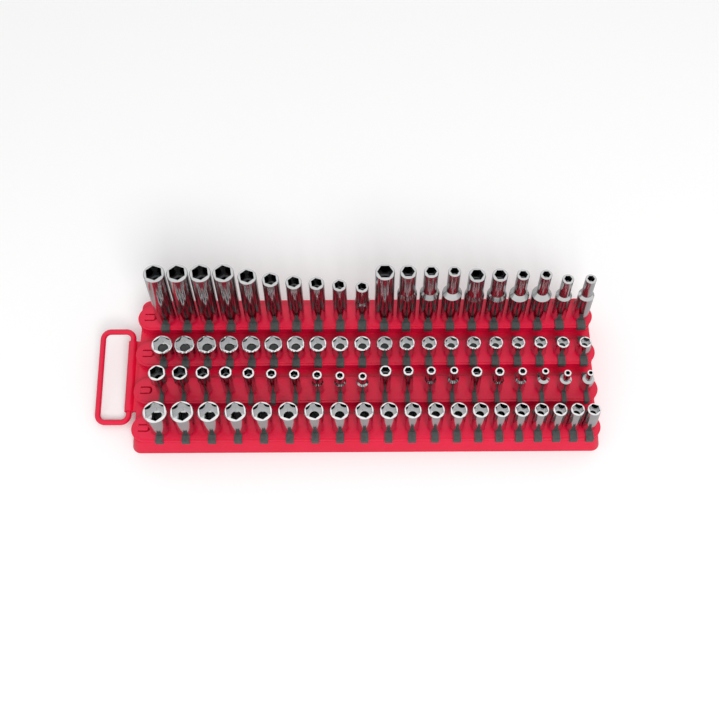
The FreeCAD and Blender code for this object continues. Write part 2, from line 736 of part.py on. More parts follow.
def outline_points(tier, place):
    """Half outline of a socket as radius and height, from the drive end up to the rim."""
    height = socket_height(tier, place)
    drive_end = drive_end_width(tier, place) / 2
    mouth = mouth_width(tier, place) / 2
    if tier not in SHOULDER_SHARE or abs(mouth / drive_end - 1) < PLAIN_TAPER_SHARE:
        return [(drive_end, 0), (mouth, height)]
    return [
        (drive_end, 0),
        (drive_end, height * SHOULDER_SHARE[tier]),
        (mouth, height * NECK_SHARE[tier]),
        (mouth, height),
    ]


def stacked_rings(levels):
    """A closed solid of flat faces through rings of corners, given as radius and height from below."""
    rings = []
    for radius, level in levels:
        ring = ring_of_corners(radius, SOCKET_FLATS, 180 / SOCKET_FLATS)
        rings.append([corner + Vector(0, 0, level) for corner in ring])
    faces = [flat_face(rings[0]), flat_face(rings[-1])]
    for lower, upper in zip(rings, rings[1:]):
        for index in range(SOCKET_FLATS):
            faces.append(flat_face([lower[index - 1], lower[index], upper[index], upper[index - 1]]))
    return Part.Solid(Part.Shell(faces))


def socket_solid(tier, place, across):
    """A socket of a set: round outside in flats, hexagon from above, square drive hole from below."""
    height = socket_height(tier, place)
    drive = DRIVES[tier]
    drive_depth = drive_hole_depth(tier, place)
    solid = stacked_rings(outline_points(tier, place))
    hexagon = ring_of_corners(hex_radius(tier, place), 6, hex_turn(tier, place))
    recess = prism(hexagon, drive_depth, height - drive_depth + sizes.overrun)
    square = ring_of_corners(sizes.get(f"drive_{drive}") / math.sqrt(2), 4, 45)
    hole = prism(square, -sizes.overrun, drive_depth + sizes.overrun)
    solid = solid.cut(recess.fuse(hole))
    solid.translate(Vector(across, rail_middle(tier), socket_seat(tier)))
    return solid.Solids[0]


# Rows whose first socket is fully round
TURNED_LEADS = ("back",)


def make_turned_socket(tier, across):
    """The first socket of a row, turned from its section, with the hexagon and the drive hole cut in."""
    name = f"socket_{tier}_first"
    body = doc.addObject("PartDesign::Body", name)
    drive = DRIVES[tier]
    height = f"sizes.height_{tier}"
    mouth = f"follow.mouth_{tier} / 2"
    outline = [("0", "0"), (mouth, "0"), (mouth, height), ("0", height)]
    section = polygon_sketch(body, f"{name}_section", outline, "XZ_Plane")
    turned = body.newObject("PartDesign::Revolution", f"{name}_turned")
    turned.Profile = (section, [""])
    turned.ReferenceAxis = (section, ["V_Axis"])
    turned.Angle = 360
    reach = f"{mouth} * {hex_radius(tier, 0) / mouth_width(tier, 0) * 2}"
    corners = [
        (f"{reach} * cos({60 * index} deg + sizes.hex_turn * 1 deg)",
         f"{reach} * sin({60 * index} deg + sizes.hex_turn * 1 deg)")
        for index in range(6)
    ]
    hexagon = polygon_sketch(body, f"{name}_hexagon", corners, "XY_Plane", height)
    pocket(body, hexagon, f"{height} - sizes.drive_depth_{drive}")
    half = f"sizes.drive_{drive} / 2"
    square = rectangle_sketch(body, f"{name}_drive", f"-{half}", half, f"-{half}", half)
    pocket(body, square, f"sizes.drive_depth_{drive}", upward=True)
    seat = Vector(across, rail_middle(tier), socket_seat(tier))
    body.Placement = FreeCAD.Placement(seat, FreeCAD.Rotation())
    return body


# Sets of a row, from the lead socket on: node name, and how many sockets it holds
SET_COUNTS = {
    "back": {
        "sockets_back_tall_set": TALL_COUNT,
        "sockets_back_falling_set": HALF_COUNT - LEAD_COUNT - TALL_COUNT,
        "sockets_back_necked_set_a": NECKED_COUNT,
        "sockets_back_necked_set_b": NECKED_COUNT,
        "sockets_back_last_pair": PAIR_COUNT,
    },
    "mid_back": {
        "sockets_mid_back_wide_set": HALF_COUNT - LEAD_COUNT,
        "sockets_mid_back_narrow_set": HALF_COUNT,
    },
    "mid_front": {
        "sockets_mid_front_falling_set": HALF_COUNT - LEAD_COUNT,
        "sockets_mid_front_necked_set_a": NECKED_COUNT,
        "sockets_mid_front_necked_set_b": NECKED_COUNT,
        "sockets_mid_front_last_pair": PAIR_COUNT,
    },
    "front": {
        "sockets_front_wide_set": HALF_COUNT - LEAD_COUNT,
        "sockets_front_narrow_set": HALF_COUNT,
    },
}


def make_row(tier):
    """Rail, tab, clips and sockets of one tier."""
    places = front_places() if tier == "front" else even_places()
    first = places[0]
    drive = DRIVES[tier]
    lead_clip = make_clip(f"clip_{tier}_first", f"clip_width_{tier}", drive, clip_place(tier, first))
    if tier in TURNED_LEADS:
        lead_socket = make_turned_socket(tier, first)
    else:
        lead_socket = make_group(f"socket_{tier}_first", [socket_solid(tier, 0, first)])
    nodes = [make_rail(tier), make_tab(tier), lead_clip, lead_socket]
    if tier == "front":
        near = [plain_clip(tier, sizes.clip_width_front, across) for across in places[LEAD_COUNT:HALF_COUNT]]
        far = [plain_clip(tier, sizes.clip_width_front_wide, across) for across in places[HALF_COUNT:]]
        nodes.append(make_group("clips_front", near))
        nodes.append(make_group("clips_front_wide", far))
    else:
        width = sizes.get(f"clip_width_{tier}")
        clips = [plain_clip(tier, width, across) for across in places[LEAD_COUNT:]]
        nodes.append(make_group(f"clips_{tier}", clips))
    start = LEAD_COUNT
    for name, count in SET_COUNTS[tier].items():
        members = [socket_solid(tier, place, places[place]) for place in range(start, start + count)]
        nodes.append(make_group(name, members))
        start += count
    return nodes


def check(nodes):
    """Stop before anything is written if an object failed or a node's shape is not sound."""
    for item in doc.Objects:
        if "Invalid" in item.State or "Error" in item.State:
            raise RuntimeError(f"{item.Name} failed: {item.State}")
    for node in nodes:
        if node.Shape.isNull() or not node.Shape.isValid():
            raise RuntimeError(f"{node.Name} has no sound shape")


nodes = [make_base_tray(), make_carry_handle()]
for tier in TIERS:
    nodes.extend(make_row(tier))
doc.recompute()
for node in nodes:
    node.Label = node.Name
check(nodes)

os.makedirs("parts", exist_ok=True)
for node in nodes:
    node.Shape.exportStep(f"parts/{node.Label}.step")
    print(f"{node.Label}: {len(node.Shape.Solids)} solid(s), {node.Shape.Volume:.0f} cubic mm")
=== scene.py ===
import json
import math

import bmesh
import bpy
import numpy as np
from mathutils import Matrix, Vector


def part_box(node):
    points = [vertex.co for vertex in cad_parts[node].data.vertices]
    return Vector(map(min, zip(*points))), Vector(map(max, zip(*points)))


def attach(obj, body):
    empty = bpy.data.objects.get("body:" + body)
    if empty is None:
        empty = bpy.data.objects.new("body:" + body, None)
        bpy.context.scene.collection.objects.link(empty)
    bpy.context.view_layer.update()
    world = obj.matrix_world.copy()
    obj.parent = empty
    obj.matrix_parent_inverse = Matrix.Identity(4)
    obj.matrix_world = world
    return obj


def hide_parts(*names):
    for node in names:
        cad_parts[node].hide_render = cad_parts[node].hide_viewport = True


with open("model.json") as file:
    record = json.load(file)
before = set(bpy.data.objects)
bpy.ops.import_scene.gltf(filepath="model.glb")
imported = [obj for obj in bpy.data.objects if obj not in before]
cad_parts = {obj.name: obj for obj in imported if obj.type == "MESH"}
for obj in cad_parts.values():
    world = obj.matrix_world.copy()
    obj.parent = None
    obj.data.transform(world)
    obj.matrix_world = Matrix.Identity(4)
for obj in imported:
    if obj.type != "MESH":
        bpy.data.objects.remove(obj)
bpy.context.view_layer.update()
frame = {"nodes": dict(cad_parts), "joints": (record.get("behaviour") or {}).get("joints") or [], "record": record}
NODES = frame["nodes"]
JOINTS = {joint["name"]: joint for joint in frame["joints"]}
TIERS = ("front", "mid_front", "mid_back", "back")
MM = 0.001

# Named sizes, in metres. Everything else is measured on the frame's nodes.
TRAY_EDGE = 0.7 * MM

RAIL_EDGE = 0.55 * MM
RAIL_PLATE = 2.2 * MM
FIELD_INSET = 2.2 * MM
FIELD_RISE = 0.8 * MM
FIELD_EDGE = 0.3 * MM
STEM_EDGE = 0.4 * MM

TAB_SLIT = 1.2 * MM
TAB_THICKNESS = 1.8 * MM
TAB_CORNER = 2.0 * MM
TONGUE_EASE = 0.3 * MM
TONGUE_EDGE = 0.25 * MM
NUB_LENGTH = 1.6 * MM
NUB_CORNER_SHARE = 0.6
NUB_SINK = 0.4 * MM
NUB_EDGE = 0.3 * MM

HANDLE_BEND = 8.2 * MM
HANDLE_BEND_STEPS = 12
HANDLE_SIDES = 28

CLIP_PLATE = 1.6 * MM
CLIP_WALL = 1.6 * MM
CLIP_GAP = 0.15 * MM
CLIP_EDGE = 0.3 * MM
CLIP_EASE = 0.6 * MM
CLIP_EASE_BACK = 0.2 * MM
HOOK_REACH = 2.0 * MM
HOOK_THICKNESS = 1.4 * MM
POST_SINK = 0.3 * MM
POST_EDGE = 0.5 * MM

# Sockets: points on a drawn ring, how their solids are read, and sizes in metres or as shares of the
# mouth's outer radius. A level of a solid with more points than a hole has is part of its outline.
RING_POINTS = 72
HOLE_MOST_POINTS = 10
LEVEL_NEAR = 0.02 * MM
EDGE_NEAR = 0.05 * MM
SOCKET_SMOOTH_DEGREES = 10
BASE_CUT = 1.1 * MM
BASE_CUT_SHARE = 0.8
SHOULDER_STRETCH = 1.8
RIM_SHARE = 0.09
RIM_INSET_SHARE = 0.75
MOUTH_OVER_HEXAGON = 1.03
LEAD_IN = 0.5 * MM
HEX_TURN = math.radians(40)
HEX_DEPTH_SHARE = 1.5
HEX_OVER_FLOOR = 0.3 * MM
BORE_SHARE = 0.51
BORE_LEAD = 0.25 * MM
BORE_LEAST = 1.0 * MM
DRIVE_LEAD = 0.6 * MM
DRIVE_TURN = math.radians(45)

# Material slots of a socket
OUTSIDE, MOUTH, DEEP_INSIDE, INSIDE = range(4)

# Camera, fitted to the photograph: place in metres, angles in degrees, and the lens for a 36 mm wide sensor
CAMERA_PLACE = (-2.43 * MM, -572.77 * MM, 1084.07 * MM)
CAMERA_ELEVATION = 61.0
CAMERA_YAW = -0.353
CAMERA_ROLL = -0.639
CAMERA_LENS = 57.49

# White floor: half its side in metres, its colour as the camera sees it, as it lights the part and
# in reflections, and its own light as the camera sees it
FLOOR_HALF_SIDE = 4.0
FLOOR_WHITE = 1.0
FLOOR_BOUNCE = 0.75
FLOOR_GLOSS = 0.6
FLOOR_LIFT = 0.04

# World: as it lights the part, in reflections and as the camera sees it
WORLD_LEVEL = 0.66
WORLD_GLOSS = 1.0
WORLD_SEEN = 1.0

# One square lamp, aimed at the origin
KEY_PLACE = (0.45, -2.0, 2.1)
KEY_SIDE = 1.2
KEY_POWER = 44.0


# Mesh helpers

def new_object(name, mesh):
    piece = bpy.data.objects.new(name, mesh)
    bpy.context.scene.collection.objects.link(piece)
    return piece


def mesh_from(name, vertices, faces):
    mesh = bpy.data.meshes.new(name)
    mesh.from_pydata([tuple(vertex) for vertex in vertices], [], faces)
    mesh.update()
    return mesh


def smooth_by_angle(mesh, degrees=32):
    mesh.polygons.foreach_set("use_smooth", [True] * len(mesh.polygons))
    mesh.set_sharp_from_angle(angle=math.radians(degrees))
    mesh.update()


def tidy_normals(mesh):
    shape = bmesh.new()
    shape.from_mesh(mesh)
    bmesh.ops.remove_doubles(shape, verts=shape.verts, dist=0.001 * MM)
    bmesh.ops.recalc_face_normals(shape, faces=shape.faces)
    shape.to_mesh(mesh)
    shape.free()


def bevel_mesh(mesh, width, segments=2, least_degrees=25):
    """Round the sharp edges of a closed mesh."""
    shape = bmesh.new()
    shape.from_mesh(mesh)
    bmesh.ops.remove_doubles(shape, verts=shape.verts, dist=0.001 * MM)
    bmesh.ops.dissolve_limit(shape, angle_limit=math.radians(1), verts=shape.verts, edges=shape.edges)
    bmesh.ops.recalc_face_normals(shape, faces=shape.faces)
    least = math.radians(least_degrees)
    sharp = [edge for edge in shape.edges if edge.is_manifold and edge.calc_face_angle() > least]
    bmesh.ops.bevel(shape, geom=sharp, offset=width, offset_type="OFFSET", segments=segments,
                    profile=0.5, affect="EDGES", clamp_overlap=True)
    shape.to_mesh(mesh)
    shape.free()


def join_meshes(name, meshes):
    """One mesh with the shapes of several."""
    shape = bmesh.new()
    for mesh in meshes:
        shape.from_mesh(mesh)
    joined = bpy.data.meshes.new(name)
    shape.to_mesh(joined)
    shape.free()
    return joined


def stacked_mesh(name, rings):
    """A skin through rings that have the same number of points, with flat ends."""
    count = len(rings[0])
    top = (len(rings) - 1) * count
    vertices = [point for ring in rings for point in ring]
    faces = []
    for low in range(0, top, count):
        for index in range(count):
            after = (index + 1) % count
            faces.append((low + index, low + after, low + count + after, low + count + index))
    faces.append(tuple(reversed(range(count))))
    faces.append(tuple(range(top, top + count)))
    return mesh_from(name, vertices, faces)


def solids_of(node):
    """Corner points of each separate solid of a node, ordered from left to right."""
    mesh = NODES[node].data
    points = np.array([vertex.co for vertex in mesh.vertices])
    _, same = np.unique(np.round(points / (0.001 * MM)), axis=0, return_inverse=True)
    same = same.ravel()
    owner = list(range(same.max() + 1))

    def find(index):
        while owner[index] != index:
            owner[index] = owner[owner[index]]
            index = owner[index]
        return index

    for polygon in mesh.polygons:
        corners = [same[vertex] for vertex in polygon.vertices]
        for corner in corners[1:]:
            owner[find(corner)] = find(corners[0])
    groups = {}
    for index, point in enumerate(points):
        groups.setdefault(find(same[index]), []).append(point)
    solids = [np.array(group) for group in groups.values()]
    return sorted(solids, key=lambda group: group[:, 0].mean())


# Materials

def new_material(name):
    material = bpy.data.materials.new(name)
    material.use_nodes = True
    tree = material.node_tree
    shader = tree.nodes["Principled BSDF"]
    return material, tree, shader


def add_node(tree, kind, **values):
    node = tree.nodes.new(kind)
    for name, value in values.items():
        setattr(node, name, value)
    return node


def noise(tree, scale, detail=3.0, roughness=0.5):
    """Noise in the object's own coordinates, in metres."""
    place = add_node(tree, "ShaderNodeTexCoord")
    texture = add_node(tree, "ShaderNodeTexNoise")
    texture.inputs["Scale"].default_value = scale
    texture.inputs["Detail"].default_value = detail
    texture.inputs["Roughness"].default_value = roughness
    tree.links.new(place.outputs["Object"], texture.inputs["Vector"])
    return texture.outputs["Fac"]


def spread(tree, source, low, high):
    """Map a noise value from about 0.3..0.7 to a range."""
    mapped = add_node(tree, "ShaderNodeMapRange")
    mapped.inputs["From Min"].default_value = 0.3
    mapped.inputs["From Max"].default_value = 0.7
    mapped.inputs["To Min"].default_value = low
    mapped.inputs["To Max"].default_value = high
    tree.links.new(source, mapped.inputs["Value"])
    return mapped.outputs["Result"]


def two_tones(tree, source, dark, light):
    ramp = add_node(tree, "ShaderNodeValToRGB")
    ramp.color_ramp.elements[0].position = 0.3
    ramp.color_ramp.elements[0].color = (*dark, 1)
    ramp.color_ramp.elements[1].position = 0.7
    ramp.color_ramp.elements[1].color = (*light, 1)
    tree.links.new(source, ramp.inputs["Fac"])
    return ramp.outputs["Color"]


def bump(tree, source, strength, distance):
    made = add_node(tree, "ShaderNodeBump")
    made.inputs["Strength"].default_value = strength
    made.inputs["Distance"].default_value = distance
    tree.links.new(source, made.inputs["Height"])
    return made.outputs["Normal"]


def red_plastic():
    """Glossy moulded plastic: even red with slow flow marks and a very fine grain."""
    material, tree, shader = new_material("red_plastic")
    flow = two_tones(tree, noise(tree, 18.0, 2.0), (0.70, 0.004, 0.040), (0.78, 0.006, 0.052))
    tree.links.new(flow, shader.inputs["Base Color"])
    tree.links.new(spread(tree, noise(tree, 160.0), 0.30, 0.40), shader.inputs["Roughness"])
    tree.links.new(bump(tree, noise(tree, 2200.0, 4.0), 0.10, 0.05 * MM), shader.inputs["Normal"])
    shader.inputs["IOR"].default_value = 1.49
    return material


def clip_plastic():
    """Dark grey matte plastic with a fine grain and slightly polished patches."""
    material, tree, shader = new_material("clip_plastic")
    tone = two_tones(tree, noise(tree, 260.0, 3.0), (0.050, 0.055, 0.054), (0.078, 0.084, 0.082))
    tree.links.new(tone, shader.inputs["Base Color"])
    tree.links.new(spread(tree, noise(tree, 700.0), 0.42, 0.58), shader.inputs["Roughness"])
    tree.links.new(bump(tree, noise(tree, 3500.0, 4.0), 0.18, 0.06 * MM), shader.inputs["Normal"])
    return material


def chrome(name, level, least_rough, most_rough):
    """Polished plating with faint handling marks, at a level of reflection; the copies made below differ in level
    only as painted highlight and painted shade.
    """
    material, tree, shader = new_material(name)
    shader.inputs["Metallic"].default_value = 1.0
    dark = (level - 0.03, level - 0.025, level - 0.02)
    light = (level + 0.03, level + 0.03, level + 0.035)
    tree.links.new(two_tones(tree, noise(tree, 120.0, 2.0), dark, light), shader.inputs["Base Color"])
    rough = spread(tree, noise(tree, 420.0, 4.0), least_rough, most_rough)
    tree.links.new(rough, shader.inputs["Roughness"])
    tree.links.new(bump(tree, noise(tree, 900.0, 3.0), 0.05, 0.02 * MM), shader.inputs["Normal"])
    return material


RED = red_plastic()
DARK = clip_plastic()
# One chrome in four levels: painted shade on the socket bodies (0.55), a painted highlight on the rims (0.86),
# painted shade down the holes (0.60) and deeper painted shade deep inside them (0.18).
CHROME_PAINTED_BODY_SHADE = chrome("chrome", 0.55, 0.10, 0.15)
CHROME_PAINTED_HIGHLIGHT = chrome("chrome_painted_highlight", 0.86, 0.05, 0.09)
CHROME_PAINTED_SHADE = chrome("chrome_painted_shade", 0.60, 0.05, 0.09)
CHROME_PAINTED_DEEP_SHADE = chrome("chrome_painted_deep_shade", 0.18, 0.12, 0.20)


def finish_piece(piece, body, material, slot, *nodes):
    piece.data.materials.clear()
    piece.data.materials.append(material)
    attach(piece, body)
    if nodes:
        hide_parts(*nodes)


# Tray

def make_tray():
    source = NODES["base_tray"].data
    mesh = source.copy()
    mesh.name = "tray"
    mesh.materials.clear()
    bevel_mesh(mesh, TRAY_EDGE, 3)
    smooth_by_angle(mesh)
    finish_piece(new_object("tray", mesh), "tray", RED, "red_plastic", "base_tray")


# Rails

def stadium(left, right, front, back, inset, level, points=24):
    """Outline of a bar with half-round ends, anticlockwise."""
    radius = (back - front) / 2
    middle = (front + back) / 2
    outline = []
    for centre, start in ((right - radius, -90), (left + radius, 90)):
        for step in range(points + 1):
            angle = math.radians(start + 180 * step / points)
            outline.append((centre + (radius - inset) * math.cos(angle),
                            middle + (radius - inset) * math.sin(angle), level))
    return outline


def rounded_step(inset, low, high, radius, steps=3):
    """Inset and height pairs up a wall at an inset, with its top edge rounded."""
    pairs = [(inset, low)]
    for step in range(steps + 1):
        angle = math.radians(90 * step / steps)
        pairs.append((inset + radius * (1 - math.cos(angle)), high - radius * (1 - math.sin(angle))))
    return pairs


def tongue_outline(left, right, half_width, radius, steps=6):
    """A tongue's outline with its right corners rounded, anticlockwise from its left front corner."""
    outline = [(left, -half_width)]
    for start, side in ((-90, -1), (0, 1)):
        for step in range(steps + 1):
            angle = math.radians(start + 90 * step / steps)
            outline.append((right - radius + radius * math.cos(angle),
                            side * (half_width - radius) + radius * math.sin(angle)))
    outline.append((left, half_width))
    return outline


def prism_mesh(name, outline, low, high, middle):
    """A prism between two heights, its outline drawn about a line along X."""
    return stacked_mesh(name, [[(x, middle + y, level) for x, y in outline] for level in (low, high)])


def box_outline(left, right, half_width):
    return [(left, -half_width), (right, -half_width), (right, half_width), (left, half_width)]


def cut_away(piece, cutter_mesh):
    """Take a closed mesh out of a piece."""
    cutter = new_object("cutter", cutter_mesh)
    modifier = piece.modifiers.new("cut", "BOOLEAN")
    modifier.operation = "DIFFERENCE"
    modifier.solver = "EXACT"
    modifier.object = cutter
    bpy.context.view_layer.update()
    evaluated = piece.evaluated_get(bpy.context.evaluated_depsgraph_get())
    mesh = bpy.data.meshes.new_from_object(evaluated)
    piece.modifiers.clear()
    piece.data = mesh
    bpy.data.objects.remove(cutter)


def make_rail(tier):
    """Rounded plate with a raised field, open round the tab, on its stem."""
    low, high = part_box(f"rail_{tier}")
    tab_low, tab_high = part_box(f"end_stop_tab_{tier}")
    middle = (low.y + high.y) / 2
    plate_bottom = high.z - RAIL_PLATE - FIELD_RISE
    plate_top = high.z - FIELD_RISE
    profile = [(RAIL_EDGE, plate_bottom), (0, plate_bottom + RAIL_EDGE)]
    profile += rounded_step(0, plate_bottom + RAIL_EDGE, plate_top, RAIL_EDGE)[1:]
    profile += rounded_step(FIELD_INSET, plate_top, high.z, FIELD_EDGE)
    rings = [stadium(low.x, high.x, low.y, high.y, inset, level) for inset, level in profile]
    plate = new_object(f"rail_plate_{tier}", stacked_mesh("rail", rings))
    half = (tab_high.y - tab_low.y) / 2 + TAB_SLIT
    outline = tongue_outline(tab_low.x, tab_high.x + TAB_SLIT, half, TAB_CORNER + TAB_SLIT)
    cut_away(plate, prism_mesh("opening", outline, plate_bottom - MM, high.z + MM, middle))
    tidy_normals(plate.data)
    smooth_by_angle(plate.data)

    stem_points = np.array([vertex.co for vertex in NODES[f"rail_{tier}"].data.vertices])
    stem_points = stem_points[stem_points[:, 2] < low.z + 0.1 * MM]
    left, right = stem_points[:, 0].min(), stem_points[:, 0].max()
    half_stem = (stem_points[:, 1].max() - stem_points[:, 1].min()) / 2
    stem_mesh = prism_mesh("stem", box_outline(left, right, half_stem), low.z, plate_bottom, middle)
    bevel_mesh(stem_mesh, STEM_EDGE)
    smooth_by_angle(stem_mesh)
    stem = new_object(f"rail_stem_{tier}", stem_mesh)

    finish_piece(plate, "tray", RED, "red_plastic", f"rail_{tier}")
    finish_piece(stem, "tray", RED, "red_plastic")


def make_tab(tier):
    """Tongue with rounded corners and a low nub across its tip."""
    low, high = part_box(f"end_stop_tab_{tier}")
    rail_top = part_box(f"rail_{tier}")[1].z
    middle = (low.y + high.y) / 2
    half = (high.y - low.y) / 2 - TONGUE_EASE
    outline = tongue_outline(low.x, high.x - TONGUE_EASE, half, TAB_CORNER)
    tongue = prism_mesh("tongue", outline, rail_top - TAB_THICKNESS, rail_top, middle)
    bevel_mesh(tongue, TONGUE_EDGE)
    nub_outline = box_outline(high.x - NUB_LENGTH, high.x - 2 * TONGUE_EASE, half - TAB_CORNER * NUB_CORNER_SHARE)
    nub = prism_mesh("nub", nub_outline, rail_top - NUB_SINK, high.z, middle)
    bevel_mesh(nub, NUB_EDGE)
    mesh = join_meshes("tab", (tongue, nub))
    smooth_by_angle(mesh)
    piece = new_object(f"stop_tab_{tier}", mesh)
    finish_piece(piece, f"tab_{tier}", RED, "red_plastic", f"end_stop_tab_{tier}")


# Carry handle

def make_handle():
    """A round bar bent into a closed loop with rounded corners, level with the slope of the tiers."""
    joint = JOINTS["handle_swing"]
    origin = Vector(joint["pos_m"])
    along = Vector(joint["axis"]).normalized()
    across = Vector((1, 0, 0))
    up = across.cross(along)
    points = np.array([vertex.co for vertex in NODES["carry_handle"].data.vertices]) - np.array(origin)
    out = points @ np.array(across)
    run = points @ np.array(along)
    left, right = out.min(), out.max()
    front, back = run.min(), run.max()
    bar = (points @ np.array(up)).max()
    inset = bar + HANDLE_BEND
    route = []
    for centre_x, centre_y, start in ((right - inset, front + inset, -90), (right - inset, back - inset, 0),
                                      (left + inset, back - inset, 90), (left + inset, front + inset, 180)):
        for step in range(HANDLE_BEND_STEPS + 1):
            angle = math.radians(start + 90 * step / HANDLE_BEND_STEPS)
            outward = across * math.cos(angle) + along * math.sin(angle)
            place = origin + across * centre_x + along * centre_y + outward * HANDLE_BEND
            route.append((place, outward))
    vertices, faces = [], []
    for place, outward in route:
        for side in range(HANDLE_SIDES):
            turn = 2 * math.pi * side / HANDLE_SIDES
            vertices.append(place + (outward * math.cos(turn) + up * math.sin(turn)) * bar)
    for index in range(len(route)):
        here = index * HANDLE_SIDES
        ahead = (index + 1) % len(route) * HANDLE_SIDES
        for side in range(HANDLE_SIDES):
            beside = (side + 1) % HANDLE_SIDES
            faces.append((here + side, ahead + side, ahead + beside, here + beside))
    mesh = mesh_from("handle", vertices, faces)
    tidy_normals(mesh)
    smooth_by_angle(mesh, 60)
    finish_piece(new_object("carry_loop", mesh), "handle", RED, "red_plastic", "carry_handle")


# Clips

def in_highest_row(node):
    return "_back" in node and "_mid_back" not in node


def clip_mesh(solid, ease):
    """A runner with hooks under both edges of the rail, narrower than its solid by an ease, and its post."""
    left, right = solid[:, 0].min() + ease, solid[:, 0].max() - ease
    front, back = solid[:, 1].min(), solid[:, 1].max()
    middle = (front + back) / 2
    post_top = solid[:, 2].max()
    post = solid[solid[:, 2] > post_top - 0.01 * MM]
    half_post = (post[:, 0].max() - post[:, 0].min()) / 2
    plate_top = max(level for level in np.unique(np.round(solid[:, 2], 6)) if level < post_top - MM)
    outside = (back - front) / 2
    inside = outside - CLIP_WALL
    plate_bottom = plate_top - CLIP_PLATE
    hook_top = plate_bottom - 2 * CLIP_GAP - RAIL_PLATE - FIELD_RISE
    hook_bottom = hook_top - HOOK_THICKNESS
    hook = inside - HOOK_REACH
    half_profile = [(outside, plate_top), (outside, hook_bottom), (hook, hook_bottom), (hook, hook_top),
                    (inside, hook_top), (inside, plate_bottom)]
    profile = half_profile + [(-y, z) for y, z in reversed(half_profile)]
    runner = stacked_mesh("clip", [[(x, middle + y, z) for y, z in profile] for x in (left, right)])
    bevel_mesh(runner, CLIP_EDGE)
    centre = (left + right) / 2
    square = box_outline(centre - half_post, centre + half_post, half_post)
    post_mesh = prism_mesh("post", square, plate_top - POST_SINK, post_top, middle)
    bevel_mesh(post_mesh, POST_EDGE, 3)
    return join_meshes("clip", (runner, post_mesh))


def make_clips(node, body):
    ease = CLIP_EASE_BACK if in_highest_row(node) else CLIP_EASE
    mesh = join_meshes(node, [clip_mesh(solid, ease) for solid in solids_of(node)])
    smooth_by_angle(mesh)
    finish_piece(new_object(f"{node}_runners", mesh), body, DARK, "clip_plastic", node)


# Sockets

def circle(radius, level, middle):
    step = 2 * math.pi / RING_POINTS
    return [(middle[0] + radius * math.cos(step * index), middle[1] + radius * math.sin(step * index), level)
            for index in range(RING_POINTS)]


def polygon_ring(corner_radius, sides, turn, level, middle):
    """A regular polygon drawn with as many points as a circle."""
    step = 2 * math.pi / RING_POINTS
    sector = 2 * math.pi / sides
    flat = corner_radius * math.cos(sector / 2)
    ring = []
    for index in range(RING_POINTS):
        angle = step * index
        from_middle = (angle - turn) % sector - sector / 2
        radius = flat / math.cos(from_middle)
        ring.append((middle[0] + radius * math.cos(angle), middle[1] + radius * math.sin(angle), level))
    return ring


def measure_socket(solid):
    """Middle, outline levels, hexagon radius and drive hole of a socket's solid."""
    middle = ((solid[:, 0].min() + solid[:, 0].max()) / 2, (solid[:, 1].min() + solid[:, 1].max()) / 2)
    radii = np.hypot(solid[:, 0] - middle[0], solid[:, 1] - middle[1])
    levels = np.unique(np.round(solid[:, 2], 5))
    outline = []
    inner_levels = []
    for level in levels:
        here = np.abs(solid[:, 2] - level) < LEVEL_NEAR
        widest = radii[here].max()
        edge = solid[here & (radii > widest - EDGE_NEAR)]
        if len(np.unique(np.round(edge, 6), axis=0)) > HOLE_MOST_POINTS:
            outline.append((widest, level))
        else:
            inner_levels.append(level)
    top = np.abs(solid[:, 2] - levels[-1]) < LEVEL_NEAR
    bottom = np.abs(solid[:, 2] - levels[0]) < LEVEL_NEAR
    floor = inner_levels[0] if inner_levels else levels[0]
    return middle, outline, radii[top].min(), radii[bottom].min(), floor


def socket_rings(solid, level_hexagon, shoulder):
    """Rings up the outside and down through the hole, and the numbers of the rim's and the mouth's rings."""
    middle, outline, hexagon, square, floor = measure_socket(solid)
    bottom_radius, bottom = outline[0]
    top_radius, top = outline[-1]
    rings = [circle(bottom_radius - BASE_CUT * BASE_CUT_SHARE, bottom, middle),
             circle(bottom_radius, bottom + BASE_CUT, middle)]
    for (radius, level), (next_radius, next_level) in zip(outline[1:-1], outline[2:]):
        if next_radius < radius:
            level = next_level - shoulder * (next_level - level)
        rings.append(circle(radius, level, middle))
    rim = len(rings)
    rim_cut = RIM_SHARE * top_radius
    rings.append(circle(top_radius, top - rim_cut, middle))
    rings.append(circle(top_radius - rim_cut * RIM_INSET_SHARE, top, middle))
    mouth = len(rings)
    turn = 0 if level_hexagon else HEX_TURN
    rings.append(polygon_ring(min(hexagon * MOUTH_OVER_HEXAGON, top_radius - rim_cut), 6, turn, top, middle))
    rings.append(polygon_ring(hexagon, 6, turn, top - LEAD_IN, middle))
    hex_floor = top - min(top - floor - HEX_OVER_FLOOR, HEX_DEPTH_SHARE * top_radius)
    rings.append(polygon_ring(hexagon, 6, turn, hex_floor, middle))
    bore = top_radius * BORE_SHARE
    rings.append(circle(bore, hex_floor - BORE_LEAD, middle))
    if hex_floor - floor > BORE_LEAST:
        rings.append(circle(bore, floor, middle))
    rings.append(polygon_ring(square, 4, DRIVE_TURN, floor - DRIVE_LEAD, middle))
    rings.append(polygon_ring(square, 4, DRIVE_TURN, bottom, middle))
    return rings, rim, mouth


